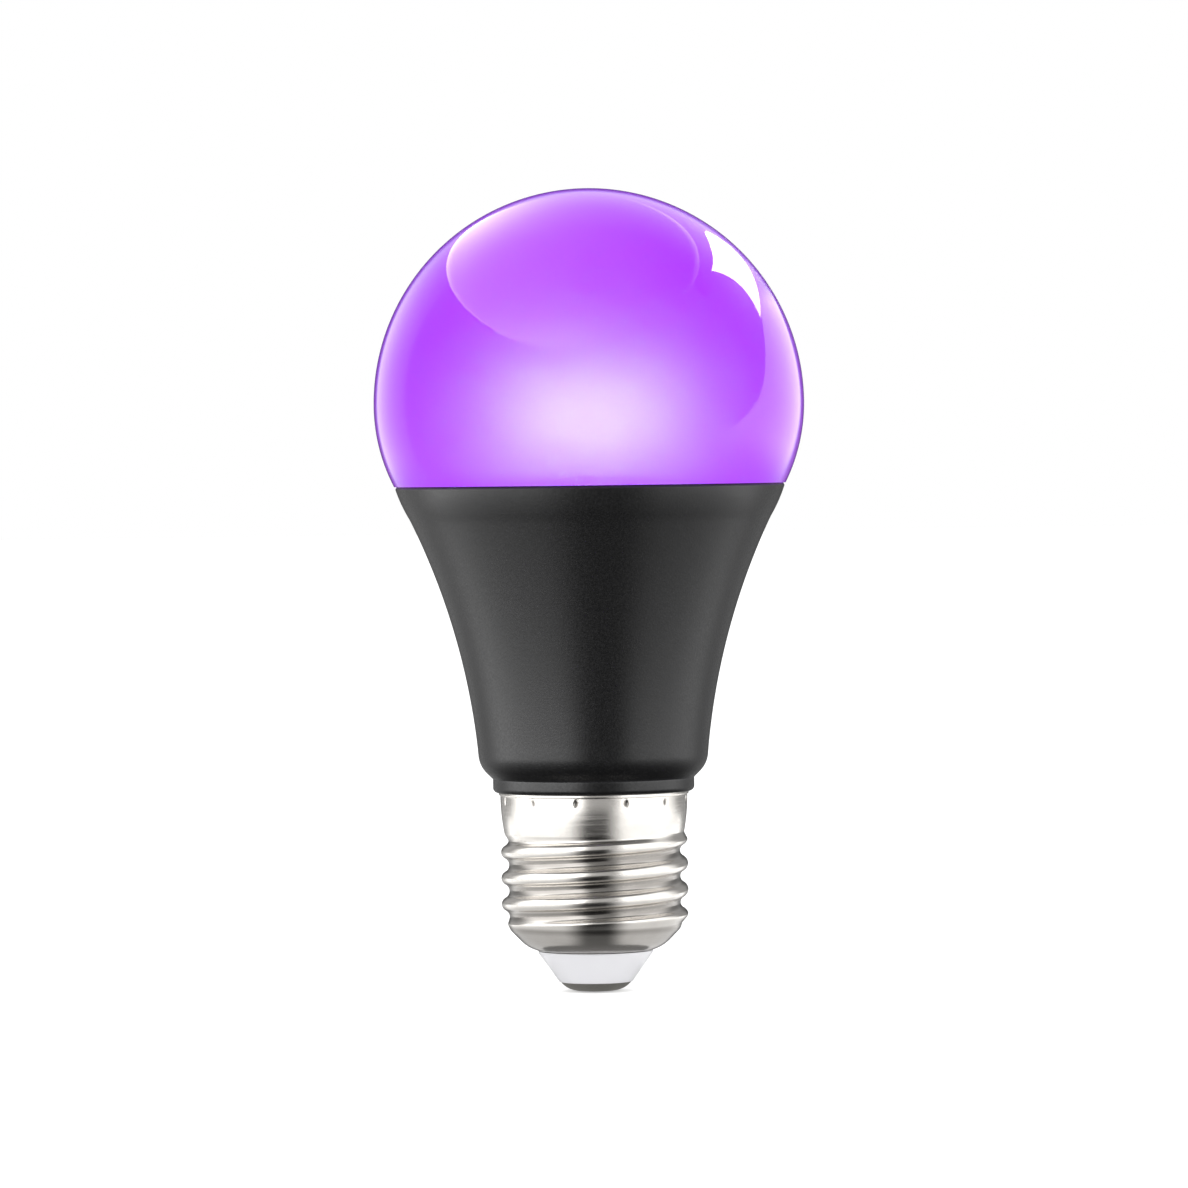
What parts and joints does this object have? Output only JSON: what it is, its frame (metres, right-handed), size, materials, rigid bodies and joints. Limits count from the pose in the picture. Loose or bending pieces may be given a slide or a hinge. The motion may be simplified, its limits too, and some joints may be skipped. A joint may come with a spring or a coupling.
{
  "type": "uv black light bulb",
  "caption": "Screw-in LED black light bulb: glossy purple globe on a flared matt black housing, with a threaded nickel cap, white insulator and domed centre contact.",
  "frame": {"origin": "tip of the centre contact, on the lamp's axis", "axes": "+Z along the lamp's axis from the contact to the crown of the globe; the driver board lies in the XZ plane; one thread crest crosses +X at 10.5 mm"},
  "size_m": [0.06, 0.06, 0.112],
  "materials": {
    "purple_diffuser": "glossy moulded polycarbonate, purple, lit from inside",
    "black_housing": "matt moulded plastic, fine grain",
    "pressed_aluminium": "pressed sheet",
    "white_board": "white solder mask on aluminium",
    "led_package": "white package with a clear window",
    "zinc_screw": "zinc plated",
    "circuit_board": "green solder mask",
    "capacitor_can": "shrink sleeve",
    "ferrite": "sintered",
    "copper_winding": "enamelled copper",
    "black_epoxy": "moulded epoxy",
    "resistor_lacquer": "lacquer",
    "tinned_pin": "tinned",
    "lead_insulation": "wire insulation",
    "nickel_shell": "polished nickel plating",
    "white_insulator": "moulded",
    "contact_metal": "dull plated metal"
  },
  "bodies": {
    "root": {"diffuser_globe": "purple_diffuser", "housing": "black_housing", "heat_sink_cup": "pressed_aluminium", "led_board": "white_board", "led_01": "led_package", "led_02": "led_package", "led_03": "led_package", "led_04": "led_package", "led_05": "led_package", "led_06": "led_package", "led_07": "led_package", "led_08": "led_package", "led_09": "led_package", "board_screws": "zinc_screw", "driver_board": "circuit_board", "input_capacitor": "capacitor_can", "output_capacitor": "capacitor_can", "inductor_core": "ferrite", "inductor_coil": "copper_winding", "bridge_rectifier": "black_epoxy", "driver_chip": "black_epoxy", "fuse_resistor": "resistor_lacquer", "output_pin_positive": "tinned_pin", "output_pin_negative": "tinned_pin", "live_lead": "lead_insulation", "neutral_lead": "lead_insulation", "screw_shell": "nickel_shell", "cap_insulator": "white_insulator", "centre_contact": "contact_metal"}
  },
  "joints": []
}
